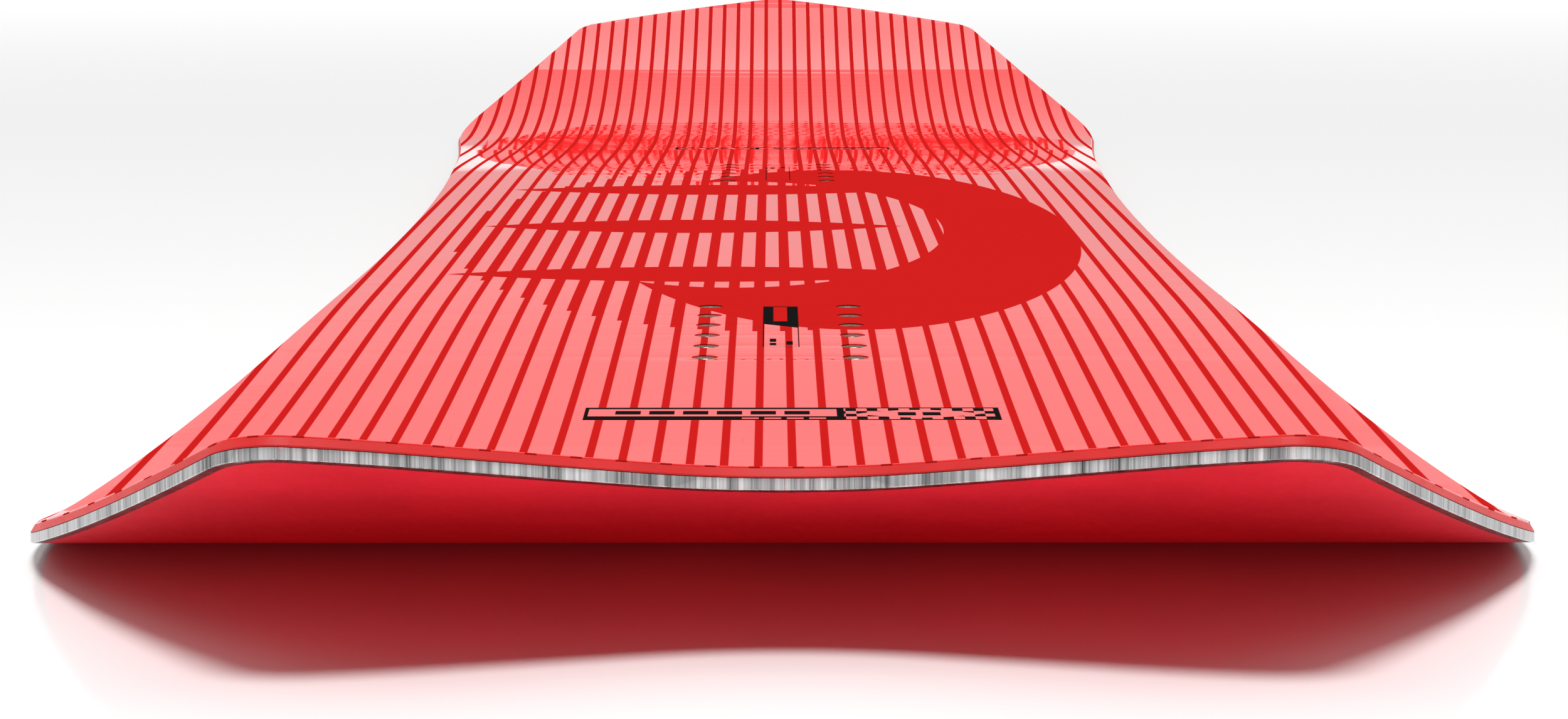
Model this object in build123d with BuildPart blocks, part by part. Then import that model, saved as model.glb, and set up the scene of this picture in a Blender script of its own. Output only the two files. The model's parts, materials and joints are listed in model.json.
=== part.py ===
"""All-mountain snowboard, 1520 mm long, built up from its pressed layers.

The board lies on its base. X runs across it, Y runs from the tail to the nose and Z is up. The origin
is on the ground, at the middle of the length and of the width.

Every layer bends only along the board. So each piece is a strip of the side view, drawn right across the
board and cut to a plan view. A height above the underside of the base, or a depth below the deck, is
measured square to the surface. An inset is a distance inwards from the outline, in plan.
"""

import math
import os

from build123d import *

os.makedirs("parts", exist_ok=True)

# Outline, right half, as (X, Y), before its corners are rounded
NOSE_TIP = (0, 760.9)
NOSE_CORNER = (107.1, 723.8)
NOSE_SHOULDER = (152.2, 576.2)
NOSE_WIDE = (156.1, 486)
WAIST = (130.2, -90)
TAIL_WIDE = (151.6, -613)
TAIL_SHOULDER = (142.9, -667.4)
TAIL_CORNER = (93.2, -761.2)
TAIL_FLANK = (59.8, -753)
TAIL_NOTCH = (0, -732.4)
NOSE_ROOF_RADIUS = 760
NOSE_TIP_ROUND = 25
NOSE_CORNER_ROUND = 18
TAIL_CORNER_ROUND = 14
TAIL_NOTCH_ROUND = 74

# Side view
MIDDLE_Y = -59
MIDDLE_CAMBER = 3.6
MIDDLE_RADIUS = 60000
MIDDLE_TO_NOSE = 180
MIDDLE_TO_TAIL = -260
FLAT_FROM_NOSE = 350
FLAT_FROM_TAIL = -450
NOSE_CONTACT = 478
NOSE_KICK_RADIUS = 688
NOSE_KICK_ANGLE = 20.6
NOSE_RUN = 60
TAIL_CONTACT = -596
TAIL_KICK_RADIUS = 305
TAIL_KICK_ANGLE = 13.6
TAIL_RUN_RADIUS = 620
TAIL_RUN_ANGLE = 10

# Thicknesses of the stack
TIP_THICKNESS = 4.2
MIDDLE_THICKNESS = 7.4
BASE_THICKNESS = 1.2
LAMINATE_THICKNESS = 0.5
TOPSHEET_THICKNESS = 0.4
FOIL_THICKNESS = 0.2
MAT_THICKNESS = 0.3
STRINGER_THICKNESS = 0.3

# Rim
EDGE_WIDTH = 2.0
EDGE_HEIGHT = 2.1
FLANGE_WIDTH = 4.0
FLANGE_THICKNESS = 0.5
EDGE_GAP = 0.3
SIDEWALL_WIDTH = 10
BEVEL_HEIGHT = 2.0
BEVEL_DEPTH = 1.2

# Wood core, glued up from strips: the inner and the outer side of each, right of the centre line
CORE_TO_NOSE = 600
CORE_TO_TAIL = -650
CENTRE_STRIP_HALF_WIDTH = 10
SIDE_STRIPS = {
    "insert": (10, 30),
    "inner": (30, 50),
    "middle": (50, 70),
    "outer": (70, 90),
    "shoulder": (90, 110),
    "rail": (110, 150),
}
STRINGER_X = 60
STRINGER_WIDTH = 16
STRINGER_END_GAP = 10

# Threaded inserts
FEET = {"front": 207, "rear": -339}
INSERT_SPACING_X = 40
INSERT_SPACING_Y = 20
INSERT_COLUMNS = 2
INSERT_ROWS = 6
INSERT_HOLE_RADIUS = 3.5
INSERT_BARREL_RADIUS = 4.5
INSERT_THREAD_RADIUS = 2.5
INSERT_FLANGE_RADIUS = 8
INSERT_FLANGE_THICKNESS = 0.8
INSERT_FLOOR_THICKNESS = 1.0
MAT_WIDTH = 70
MAT_LENGTH = 140

# Blanks are drawn larger than the board and cut down to it
BLANK_LOW = -5
BLANK_HEIGHT = 90
BLANK_HALF_WIDTH = 170
BLANK_HALF_LENGTH = 800


# --- Plan views ---


def round_corner(sketch, point, radius):
    """Fillet the corner of a sketch that lies at a point."""
    fillet(sketch.vertices().sort_by_distance(point)[0], radius=radius)


with BuildSketch() as outline:
    with BuildLine():
        sidecut = ThreePointArc(TAIL_WIDE, WAIST, NOSE_WIDE)
        nose_shoulder = TangentArc(sidecut @ 1, NOSE_SHOULDER, tangent=sidecut % 1)
        TangentArc(nose_shoulder @ 1, NOSE_CORNER, tangent=nose_shoulder % 1)
        RadiusArc(NOSE_CORNER, NOSE_TIP, -NOSE_ROOF_RADIUS)
        tail_shoulder = TangentArc(sidecut @ 0, TAIL_SHOULDER, tangent=(sidecut % 0) * -1)
        TangentArc(tail_shoulder @ 1, TAIL_CORNER, tangent=tail_shoulder % 1)
        tail_side = Line(TAIL_NOTCH, TAIL_FLANK)
        TangentArc(tail_side @ 1, TAIL_CORNER, tangent=tail_side % 1)
        mirror(about=Plane.YZ)
    make_face()
    round_corner(outline, NOSE_TIP, NOSE_TIP_ROUND)
    round_corner(outline, TAIL_NOTCH, TAIL_NOTCH_ROUND)
    for side in (1, -1):
        round_corner(outline, (side * NOSE_CORNER[0], NOSE_CORNER[1]), NOSE_CORNER_ROUND)
        round_corner(outline, (side * TAIL_CORNER[0], TAIL_CORNER[1]), TAIL_CORNER_ROUND)


def inset_plan(inset):
    """Outline, moved inwards, with its left half mirrored from its right half."""
    with BuildSketch() as inner:
        add(outline.sketch)
        offset(amount=-inset, mode=Mode.REPLACE)
        split(bisect_by=Plane.YZ, keep=Keep.TOP)
        mirror(about=Plane.YZ)
    return inner.sketch


def ring_plan(outer_inset, inner_inset):
    """Band between two insets."""
    outer_side = inset_plan(outer_inset) if outer_inset else outline.sketch
    inner_side = inset_plan(inner_inset)
    with BuildSketch() as ring:
        add(outer_side)
        add(inner_side, mode=Mode.SUBTRACT)
    return ring.sketch


def block_plan(low_x, high_x, low_y=-BLANK_HALF_LENGTH, high_y=BLANK_HALF_LENGTH):
    """Rectangle between two sides and two ends."""
    with BuildSketch() as block:
        with Locations(((low_x + high_x) / 2, (low_y + high_y) / 2)):
            Rectangle(high_x - low_x, high_y - low_y)
    return block.sketch


def insert_plan(radius, feet=FEET):
    """Circle at each insert of the given feet."""
    with BuildSketch() as circles:
        for foot in feet:
            with Locations((0, FEET[foot])):
                with GridLocations(INSERT_SPACING_X, INSERT_SPACING_Y, INSERT_COLUMNS, INSERT_ROWS):
                    Circle(radius)
    return circles.sketch


# --- Side views ---


def side_line(tip_level, middle_level, from_tail, from_nose):
    """Side view of one surface, as (Y, Z), which reaches its tip level at two given places."""
    to_nose = math.degrees(math.asin((MIDDLE_TO_NOSE - MIDDLE_Y) / MIDDLE_RADIUS))
    to_tail = math.degrees(math.asin((MIDDLE_TO_TAIL - MIDDLE_Y) / MIDDLE_RADIUS))
    centre = (MIDDLE_Y, MIDDLE_CAMBER - MIDDLE_RADIUS)
    nose_radius = NOSE_KICK_RADIUS - tip_level
    tail_radius = TAIL_KICK_RADIUS - tip_level
    with BuildLine() as line:
        middle = CenterArc(centre, MIDDLE_RADIUS + middle_level, 90 - to_tail, to_tail - to_nose)
        nose_kick = JernArc((NOSE_CONTACT, tip_level), (1, 0), nose_radius, NOSE_KICK_ANGLE)
        Line(nose_kick @ 1, nose_kick @ 1 + nose_kick % 1 * NOSE_RUN)
        tail_kick = JernArc((TAIL_CONTACT, tip_level), (-1, 0), tail_radius, -TAIL_KICK_ANGLE)
        JernArc(tail_kick @ 1, tail_kick % 1, TAIL_RUN_RADIUS - tip_level, -TAIL_RUN_ANGLE)
        Spline(middle @ 1, (from_nose, tip_level), tangents=(middle % 1, (1, 0)))
        Spline((from_tail, tip_level), middle @ 0, tangents=((1, 0), middle % 0))
        if from_nose < NOSE_CONTACT:
            Line((from_nose, tip_level), (NOSE_CONTACT, tip_level))
            Line((TAIL_CONTACT, tip_level), (from_tail, tip_level))
    return line.line


def above_base(height):
    """Surface at a height above the underside, which lies flat on the ground near both contacts."""
    return side_line(height, height, FLAT_FROM_TAIL, FLAT_FROM_NOSE)


def below_deck(depth):
    """Surface at a depth below the deck, which thins all the way to the contacts."""
    return side_line(TIP_THICKNESS - depth, MIDDLE_THICKNESS - depth, TAIL_CONTACT, NOSE_CONTACT)


def level_at(line, y):
    """Height above the ground of a nearly level surface, at a place along the board."""
    return line.distance_to(Vertex(y, 0))


def strip(low_line, high_line):
    """Side view of everything between two surfaces."""
    low_ends = low_line.vertices().sort_by(Axis.X)
    high_ends = high_line.vertices().sort_by(Axis.X)
    with BuildSketch(Plane.YZ.offset(-BLANK_HALF_WIDTH)) as side_view:
        with BuildLine():
            add(low_line)
            add(high_line)
            Line(tuple(low_ends[0]), tuple(high_ends[0]))
            Line(tuple(low_ends[-1]), tuple(high_ends[-1]))
        make_face()
    return side_view.sketch


# --- Making and writing pieces ---


def draw_block(plan_view, mode=Mode.ADD):
    """Extrude a plan view from below the board to above it, in the open part."""
    extrude(to_extrude=Pos(0, 0, BLANK_LOW) * plan_view, amount=BLANK_HEIGHT, mode=mode)


def draw_sheet(plan_view, side_view):
    """Draw, in the open part, the sheet that has this plan view and this side view."""
    draw_block(plan_view)
    extrude(to_extrude=side_view, amount=2 * BLANK_HALF_WIDTH, mode=Mode.INTERSECT)


def keep_inside(plan_view):
    """Cut the open part down to a plan view."""
    draw_block(plan_view, mode=Mode.INTERSECT)


def cut_through(plan_view):
    """Cut a plan view right through the open part."""
    draw_block(plan_view, mode=Mode.SUBTRACT)


def finish(part, name):
    """Name a finished piece and write it."""
    part.label = name
    export_step(part, f"parts/{name}.step")


flange_inset = EDGE_WIDTH + FLANGE_WIDTH
joggle_inset = flange_inset + LAMINATE_THICKNESS
flange_top = BASE_THICKNESS + FLANGE_THICKNESS
foil_top = flange_top + FOIL_THICKNESS
field_top = BASE_THICKNESS + LAMINATE_THICKNESS
ledge_top = foil_top + LAMINATE_THICKNESS
core_depth = TOPSHEET_THICKNESS + LAMINATE_THICKNESS

rim_band = ring_plan(0, EDGE_WIDTH)
flange_band = ring_plan(EDGE_WIDTH, flange_inset)
inner_plan = inset_plan(EDGE_WIDTH)
halves = {
    "left": block_plan(-BLANK_HALF_WIDTH, -EDGE_GAP / 2),
    "right": block_plan(EDGE_GAP / 2, BLANK_HALF_WIDTH),
}

# --- Base sheet ---

base_strip = strip(above_base(0), above_base(BASE_THICKNESS))

with BuildPart() as base_sheet:
    draw_sheet(inner_plan, base_strip)
finish(base_sheet.part, "base_sheet")

# --- Steel edges: a square rim, and a thin flange that lies on the base sheet ---

rim_strip = strip(above_base(0), above_base(EDGE_HEIGHT))
flange_strip = strip(above_base(BASE_THICKNESS), above_base(flange_top))

with BuildPart() as rim:
    draw_sheet(rim_band, rim_strip)

with BuildPart() as flange:
    draw_sheet(flange_band, flange_strip)

for name, half in halves.items():
    with BuildPart() as steel_edge:
        add(rim.part)
        add(flange.part)
        keep_inside(half)
    finish(steel_edge.part, f"steel_edge_{name}")

# --- Rubber foil on each edge flange ---

foil_strip = strip(above_base(flange_top), above_base(foil_top))

for name, half in halves.items():
    with BuildPart() as damping_foil:
        draw_sheet(flange_band, foil_strip)
        keep_inside(half)
    finish(damping_foil.part, f"damping_foil_{name}")

# --- Bottom laminate: flat on the base sheet, with a joggle up over the flange and its foil ---

under_ledge_strip = strip(above_base(0), above_base(foil_top))
over_field_plan = inset_plan(joggle_inset)
over_field_strip = strip(above_base(field_top), above_base(2 * ledge_top))
bottom_laminate_strip = strip(above_base(BASE_THICKNESS), above_base(ledge_top))

with BuildPart() as under_ledge:
    draw_sheet(flange_band, under_ledge_strip)

with BuildPart() as over_field:
    draw_sheet(over_field_plan, over_field_strip)

with BuildPart() as bottom_laminate:
    draw_sheet(inner_plan, bottom_laminate_strip)
    add(under_ledge.part, mode=Mode.SUBTRACT)
    add(over_field.part, mode=Mode.SUBTRACT)
finish(bottom_laminate.part, "bottom_laminate")

# --- Whole board with its bevel, which the pieces that reach the rim are cut to ---

board_strip = strip(above_base(0), below_deck(0))

with BuildPart() as board:
    draw_sheet(outline.sketch, board_strip)
    deck = board.faces().sort_by(SortBy.AREA)[-2:].sort_by(Axis.Z)[-1]
    waist_edge = deck.edges().sort_by(Axis.X)[-1]
    chamfer(waist_edge, length=BEVEL_DEPTH, length2=BEVEL_HEIGHT, reference=deck)

# --- Topsheet and top laminate, drilled over the inserts ---

below_topsheet_strip = strip(above_base(0), below_deck(TOPSHEET_THICKNESS))
top_laminate_strip = strip(below_deck(core_depth), below_deck(TOPSHEET_THICKNESS))
drilling_plan = insert_plan(INSERT_HOLE_RADIUS)

with BuildPart() as topsheet:
    add(board.part)
    extrude(to_extrude=below_topsheet_strip, amount=2 * BLANK_HALF_WIDTH, mode=Mode.SUBTRACT)
    cut_through(drilling_plan)
finish(topsheet.part, "topsheet")

with BuildPart() as whole_top_laminate:
    draw_sheet(inner_plan, top_laminate_strip)

with BuildPart() as top_laminate:
    add(whole_top_laminate.part)
    cut_through(drilling_plan)
finish(top_laminate.part, "top_laminate")

# --- Middle layer: everything between the laminates, out to the bevel ---

middle_strip = strip(above_base(field_top), below_deck(TOPSHEET_THICKNESS))
ledge_band = ring_plan(EDGE_WIDTH, joggle_inset)
ledge_strip = strip(above_base(0), above_base(ledge_top))

with BuildPart() as ledge:
    draw_sheet(ledge_band, ledge_strip)

with BuildPart() as middle_layer:
    add(board.part)
    extrude(to_extrude=middle_strip, amount=2 * BLANK_HALF_WIDTH, mode=Mode.INTERSECT)
    add(rim.part, mode=Mode.SUBTRACT)
    add(ledge.part, mode=Mode.SUBTRACT)
    add(whole_top_laminate.part, mode=Mode.SUBTRACT)

# --- Nose and tail spacers ---

nose_plan = block_plan(-BLANK_HALF_WIDTH, BLANK_HALF_WIDTH, low_y=CORE_TO_NOSE)
tail_plan = block_plan(-BLANK_HALF_WIDTH, BLANK_HALF_WIDTH, high_y=CORE_TO_TAIL)

with BuildPart() as nose_spacer:
    add(middle_layer.part)
    keep_inside(nose_plan)
finish(nose_spacer.part, "nose_spacer")

with BuildPart() as tail_spacer:
    add(middle_layer.part)
    keep_inside(tail_plan)
finish(tail_spacer.part, "tail_spacer")

# --- Sidewalls ---

sidewall_band = ring_plan(0, SIDEWALL_WIDTH)
sidewall_blocks = {
    "left": block_plan(-BLANK_HALF_WIDTH, 0, CORE_TO_TAIL, CORE_TO_NOSE),
    "right": block_plan(0, BLANK_HALF_WIDTH, CORE_TO_TAIL, CORE_TO_NOSE),
}

for name, sidewall_block in sidewall_blocks.items():
    with BuildPart() as sidewall:
        add(middle_layer.part)
        keep_inside(sidewall_block)
        keep_inside(sidewall_band)
    finish(sidewall.part, f"sidewall_{name}")

# --- Threaded inserts: a flanged barrel with a blind, flat-bottomed thread, twelve to a foot ---

barrel_strip = strip(above_base(field_top), below_deck(core_depth))
insert_flange_strip = strip(above_base(field_top), above_base(field_top + INSERT_FLANGE_THICKNESS))
thread_bottom = above_base(field_top + INSERT_FLOOR_THICKNESS)
standing = (Align.CENTER, Align.CENTER, Align.MIN)
insert_groups = {}

for foot, foot_y in FEET.items():
    barrel_plan = insert_plan(INSERT_BARREL_RADIUS, [foot])
    insert_flange_plan = insert_plan(INSERT_FLANGE_RADIUS, [foot])
    with BuildPart() as insert_flanges:
        draw_sheet(insert_flange_plan, insert_flange_strip)
    with BuildPart() as inserts:
        draw_sheet(barrel_plan, barrel_strip)
        add(insert_flanges.part)
        for row in range(INSERT_ROWS):
            row_y = foot_y + (row - (INSERT_ROWS - 1) / 2) * INSERT_SPACING_Y
            with Locations((0, row_y, level_at(thread_bottom, row_y))):
                with GridLocations(INSERT_SPACING_X, INSERT_SPACING_Y, INSERT_COLUMNS, 1):
                    Cylinder(INSERT_THREAD_RADIUS, MIDDLE_THICKNESS, align=standing, mode=Mode.SUBTRACT)
    insert_groups[foot] = inserts.part
    finish(inserts.part, f"{foot}_inserts")

# --- Glass mat around the barrels of each foot, let into the top of the core ---

mat_strip = strip(below_deck(core_depth + MAT_THICKNESS), below_deck(core_depth))
mats = {}

for foot, foot_y in FEET.items():
    mat_plan = block_plan(-MAT_WIDTH / 2, MAT_WIDTH / 2, foot_y - MAT_LENGTH / 2, foot_y + MAT_LENGTH / 2)
    barrel_plan = insert_plan(INSERT_BARREL_RADIUS, [foot])
    with BuildPart() as insert_mat:
        draw_sheet(mat_plan, mat_strip)
        cut_through(barrel_plan)
    mats[foot] = insert_mat.part
    finish(insert_mat.part, f"{foot}_insert_mat")

# --- Stringers, let into the underside of the core ---

stringer_strip = strip(above_base(field_top), above_base(field_top + STRINGER_THICKNESS))
stringers = {}

for name, middle_x in (("left", -STRINGER_X), ("right", STRINGER_X)):
    stringer_plan = block_plan(
        middle_x - STRINGER_WIDTH / 2,
        middle_x + STRINGER_WIDTH / 2,
        CORE_TO_TAIL + STRINGER_END_GAP,
        CORE_TO_NOSE - STRINGER_END_GAP,
    )
    with BuildPart() as stringer:
        draw_sheet(stringer_plan, stringer_strip)
    stringers[name] = stringer.part
    finish(stringer.part, f"stringer_{name}")

# --- Wood core, cut out for what is let into it, then parted into its strips ---

core_block = block_plan(-BLANK_HALF_WIDTH, BLANK_HALF_WIDTH, CORE_TO_TAIL, CORE_TO_NOSE)
core_plan = inset_plan(SIDEWALL_WIDTH)
barrels_plan = insert_plan(INSERT_BARREL_RADIUS)

with BuildPart() as core:
    add(middle_layer.part)
    keep_inside(core_block)
    keep_inside(core_plan)
    cut_through(barrels_plan)
    for let_in in (*insert_groups.values(), *mats.values(), *stringers.values()):
        add(let_in, mode=Mode.SUBTRACT)

centre_plan = block_plan(-CENTRE_STRIP_HALF_WIDTH, CENTRE_STRIP_HALF_WIDTH)

with BuildPart() as centre_strip:
    add(core.part)
    keep_inside(centre_plan)
finish(centre_strip.part, "core_centre_strip")

for name, (inner_x, outer_x) in SIDE_STRIPS.items():
    for side_name, side_plan in (
        ("left", block_plan(-outer_x, -inner_x)),
        ("right", block_plan(inner_x, outer_x)),
    ):
        with BuildPart() as side_strip:
            add(core.part)
            keep_inside(side_plan)
        finish(side_strip.part, f"core_{name}_strip_{side_name}")
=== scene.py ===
# %% [markdown]
# # A snowboard, finished around its pressed layers
# A snowboard is a stack of flat sheets, glued and pressed to shape: a base and its steel edges at the
# bottom, a wood core between two glass laminates, and a glossy printed topsheet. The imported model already
# holds every layer at its true size. Here we load it as a fixed frame, rebuild the pieces that are seen
# close up with finer meshes, and give every layer its own finish.

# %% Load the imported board
import json
import math

import bmesh
import bpy
from mathutils import Matrix, Vector


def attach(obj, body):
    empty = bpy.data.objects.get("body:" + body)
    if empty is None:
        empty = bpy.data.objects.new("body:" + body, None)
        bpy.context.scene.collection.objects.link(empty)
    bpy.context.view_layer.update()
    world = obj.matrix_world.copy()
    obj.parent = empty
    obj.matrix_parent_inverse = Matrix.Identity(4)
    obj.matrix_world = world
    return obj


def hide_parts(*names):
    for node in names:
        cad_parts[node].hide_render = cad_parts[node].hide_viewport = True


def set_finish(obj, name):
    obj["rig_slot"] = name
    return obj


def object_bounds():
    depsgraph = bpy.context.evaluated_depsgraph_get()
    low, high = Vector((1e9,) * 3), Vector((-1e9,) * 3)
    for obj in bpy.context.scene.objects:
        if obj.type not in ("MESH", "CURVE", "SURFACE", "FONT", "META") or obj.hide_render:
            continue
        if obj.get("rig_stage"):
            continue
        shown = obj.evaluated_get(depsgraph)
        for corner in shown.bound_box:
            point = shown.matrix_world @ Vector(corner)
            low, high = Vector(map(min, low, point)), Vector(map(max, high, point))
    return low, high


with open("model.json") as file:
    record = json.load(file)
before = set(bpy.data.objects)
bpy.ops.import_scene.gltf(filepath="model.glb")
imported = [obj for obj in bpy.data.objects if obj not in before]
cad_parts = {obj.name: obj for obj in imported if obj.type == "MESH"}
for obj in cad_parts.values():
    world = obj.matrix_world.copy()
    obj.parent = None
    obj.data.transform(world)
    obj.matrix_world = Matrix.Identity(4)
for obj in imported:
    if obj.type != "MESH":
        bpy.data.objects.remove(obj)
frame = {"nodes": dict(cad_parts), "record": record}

nodes = frame["nodes"]
cad_low, cad_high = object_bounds()
print("layers:", len(nodes), "box:", [round(side, 4) for side in cad_high - cad_low])

# %% [markdown]
# ## Working in millimetres
# Blender measures in metres, and a board maker in millimetres. New pieces are drawn in millimetres and
# scaled once, as they are finished. The nose tip is the one place on the outline that the frame's box
# gives exactly, so the rim is drawn from there.

# %% Read the driving places from the frame
MM = 0.001
NOSE_TIP_Y = cad_high.y / MM
mounts = {mount["name"]: Vector(mount["pos_m"]) / MM for mount in frame["record"]["mounts"]}
FEET = {foot: mounts[f"{foot}_middle_inserts"].y for foot in ("front", "rear")}
INSERT_X = 20
INSERT_PITCH = 20
INSERT_ROWS = 6
print("nose tip:", round(NOSE_TIP_Y, 2), "feet:", FEET)

# %% [markdown]
# ## The camera
# The camera stands behind the tail, low over the floor, and looks along the board through a long lens.
# A long lens far away keeps the nose from shrinking too much, so that the whole printed top is seen.

# %% Set the camera up
CAMERA_PLACE = Vector((-2.2, -1399.2, 138.1))
CAMERA_LENS = 88.2
CAMERA_SENSOR = 36
LOOK_DOWN = math.radians(7.354)
LOOK_RIGHT = math.radians(0.182)

camera_data = bpy.data.cameras.new("camera")
camera_data.lens = CAMERA_LENS
camera_data.sensor_width = CAMERA_SENSOR
camera_data.clip_start = 0.05
camera = bpy.data.objects.new("camera", camera_data)
camera.location = CAMERA_PLACE * MM
camera.rotation_euler = (math.pi / 2 - LOOK_DOWN, 0, -LOOK_RIGHT)
bpy.context.scene.collection.objects.link(camera)
bpy.context.scene.camera = camera
print("camera at", [round(number, 4) for number in camera.location])

# %% [markdown]
# ## The side view
# Every layer follows one of two surfaces. The underside lies flat on the floor near both contacts, arches
# by a few millimetres between them and turns up at both ends. The deck thins from the middle to the
# contacts. Both are a chain of arcs with a smooth ramp between. A layer's level is its height above the
# underside, or its depth below the deck as a negative number, measured square to the surface: an arc of
# the kick then has its radius made smaller by the level.

# %% Describe the surfaces of the press
MIDDLE_Y = -59
MIDDLE_CAMBER = 3.6
MIDDLE_RADIUS = 60000
MIDDLE_SPAN = (-260, 180)
TAIL_CONTACT = -596
TAIL_KICK = (305, math.radians(13.6))
TAIL_RUN_RADIUS = 620
NOSE_CONTACT = 478
NOSE_KICK = (688, math.radians(20.6))
FLAT_FROM = (-450, 350)
TIP_THICKNESS = 4.2
MIDDLE_THICKNESS = 7.4


def ramp(y, start, end):
    """Height on the smooth curve from one (y, height, slope) to another."""
    length = end[0] - start[0]
    t = (y - start[0]) / length
    rise = start[1] * (2 * t**3 - 3 * t**2 + 1) + end[1] * (3 * t**2 - 2 * t**3)
    return rise + length * (start[2] * (t**3 - 2 * t**2 + t) + end[2] * (t**3 - t**2))


def arch(y, level):
    """Height and slope of the middle arch at a level above its underside."""
    radius = MIDDLE_RADIUS + level
    height = MIDDLE_CAMBER - MIDDLE_RADIUS + math.sqrt(radius**2 - (y - MIDDLE_Y) ** 2)
    return height, -(y - MIDDLE_Y) / radius


def kick(run, level, radius, angle, next_radius=None):
    """Height of an upturned end, a distance past its contact."""
    inner = radius - level
    if run <= inner * math.sin(angle):
        return radius - math.sqrt(inner**2 - run**2)
    run -= inner * math.sin(angle)
    height = radius - inner * math.cos(angle)
    if next_radius is None:
        return height + run * math.tan(angle)
    inner = next_radius - level
    return height + inner * math.cos(angle) - math.sqrt(inner**2 - (inner * math.sin(angle) + run) ** 2)


def side_height(y, tip_level, middle_level, flat_from):
    """Height of the surface that reaches its tip level at two places and its middle level between."""
    tail_end, nose_end = MIDDLE_SPAN
    if y < TAIL_CONTACT:
        return kick(TAIL_CONTACT - y, tip_level, *TAIL_KICK, TAIL_RUN_RADIUS)
    if y > NOSE_CONTACT:
        return kick(y - NOSE_CONTACT, tip_level, *NOSE_KICK)
    if y < flat_from[0] or y > flat_from[1]:
        return tip_level
    if y < tail_end:
        return ramp(y, (flat_from[0], tip_level, 0), (tail_end, *arch(tail_end, middle_level)))
    if y > nose_end:
        return ramp(y, (nose_end, *arch(nose_end, middle_level)), (flat_from[1], tip_level, 0))
    return arch(y, middle_level)[0]


def above_base(y, level):
    """Height of the surface at a level above the underside."""
    return side_height(y, level, level, FLAT_FROM)


def below_deck(y, level):
    """Height of the surface at a level, zero or negative, from the deck."""
    return side_height(y, TIP_THICKNESS + level, MIDDLE_THICKNESS + level, (TAIL_CONTACT, NOSE_CONTACT))


for y in (-750, FEET["rear"], MIDDLE_Y, FEET["front"], 750):
    print("y", y, "underside", round(above_base(y, 0), 2), "deck", round(below_deck(y, 0), 2))

# %% [markdown]
# ## Blank, press, finish
# The new pieces are made the way the factory makes them. A blank is drawn flat, with its levels as
# heights. The press then lifts every point to the surface of its level. At last the piece is scaled to
# metres, its faces are turned outwards, and creases sharper than a soft bend stay crisp.

# %% Make the press and the finishing bench
SOFT_BEND = math.radians(35)


def press(blank, surface):
    """Bend a flat blank: each point rises from its level to that level's surface."""
    for vert in blank.verts:
        vert.co.z = surface(vert.co.y, vert.co.z)


def finish_piece(name, blank):
    """Turn a drawing in millimetres into an object that rides on the board."""
    bmesh.ops.scale(blank, vec=(MM, MM, MM), verts=blank.verts)
    bmesh.ops.recalc_face_normals(blank, faces=blank.faces)
    open_edges = sum(not edge.is_manifold for edge in blank.edges)
    mesh = bpy.data.meshes.new(name)
    blank.to_mesh(mesh)
    blank.free()
    mesh.shade_smooth()
    mesh.set_sharp_from_angle(angle=SOFT_BEND)
    piece = bpy.data.objects.new(name, mesh)
    bpy.context.scene.collection.objects.link(piece)
    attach(piece, "root")
    print(name, "faces:", len(mesh.polygons), "open edges:", open_edges)
    return piece


# %% [markdown]
# ## The rim as a walk
# The outline is a walk from the nose tip round the right side to the notch in the tail. Each step of the
# walk is an arc with a radius and a turn, and each arc starts in the direction in which the last one
# ended. Because the arcs share their centres with any line drawn inside them, the same walk sweeps a
# profile round the rim: the spin operator turns the profile about each centre in turn. A profile is a
# list of (inset, level) points, where the inset is the distance inwards from the outline.

# %% Sweep a profile round the right half
RIM_WALK = [
    (25, -15.3466),
    (760, -7.4906),
    (18, -43.9307),
    (643.545, -13.1282),
    (340.074, -15.2561),
    (6410.113, 9.8354),
    (115.732, -27.5385),
    (601.608, -9.2216),
    (14, -69.4461),
    (189.221, -7.4847),
    (30000, -0.0721),
    (74, 19.0243),
]
LONGEST_STEP = 8
LARGEST_TURN = 4


def sweep_rim(blank, profile, closed=False):
    """Sweep the (inset, level) points of a profile from the nose tip to the notch."""
    column = [blank.verts.new((0, NOSE_TIP_Y - inset, level)) for inset, level in profile]
    pairs = list(zip(column, column[1:]))
    if closed:
        pairs.append((column[-1], column[0]))
    swept = column + [blank.edges.new(pair) for pair in pairs]
    place = Vector((0, NOSE_TIP_Y, 0))
    heading = 0.0
    for radius, turn in RIM_WALK:
        angle = math.radians(turn)
        left = Vector((-math.sin(heading), math.cos(heading), 0))
        centre = place + left * math.copysign(radius, turn)
        length = radius * abs(angle)
        steps = math.ceil(max(length / LONGEST_STEP, abs(turn) / LARGEST_TURN, 1))
        spun = bmesh.ops.spin(
            blank, geom=swept, cent=centre, axis=(0, 0, 1), angle=angle, steps=steps, use_duplicate=False
        )
        swept = spun["geom_last"]
        place = centre + Matrix.Rotation(angle, 3, "Z") @ (place - centre)
        heading += angle
    return place


trial = bmesh.new()
notch = sweep_rim(trial, [(0, 0)])
widest = max(vert.co.x for vert in trial.verts)
trial.free()
print("notch at", [round(number, 3) for number in notch], "half width", round(widest, 2))


# %% [markdown]
# ## Steel edges
# A steel edge is one bent length of steel on each side, and the two butt together at the nose and the
# tail. Its profile is a square rim with slightly dulled corners. A comb of thin teeth on the inner side
# is glued in under the laminate, so that the edge can be bent to the outline and can't be torn out. The
# rim is a swept profile. The teeth are stretches of its inner wall, extruded inwards.

# %% Bend the steel edges
EDGE_WIDTH = 2.0
EDGE_HEIGHT = 2.1
DULLED = 0.15
TOOTH_LEVELS = (1.2, 1.7)
TOOTH_LENGTH = 4.0
TOOTH_PITCH = 14
EDGE_GAP = 0.06

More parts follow.
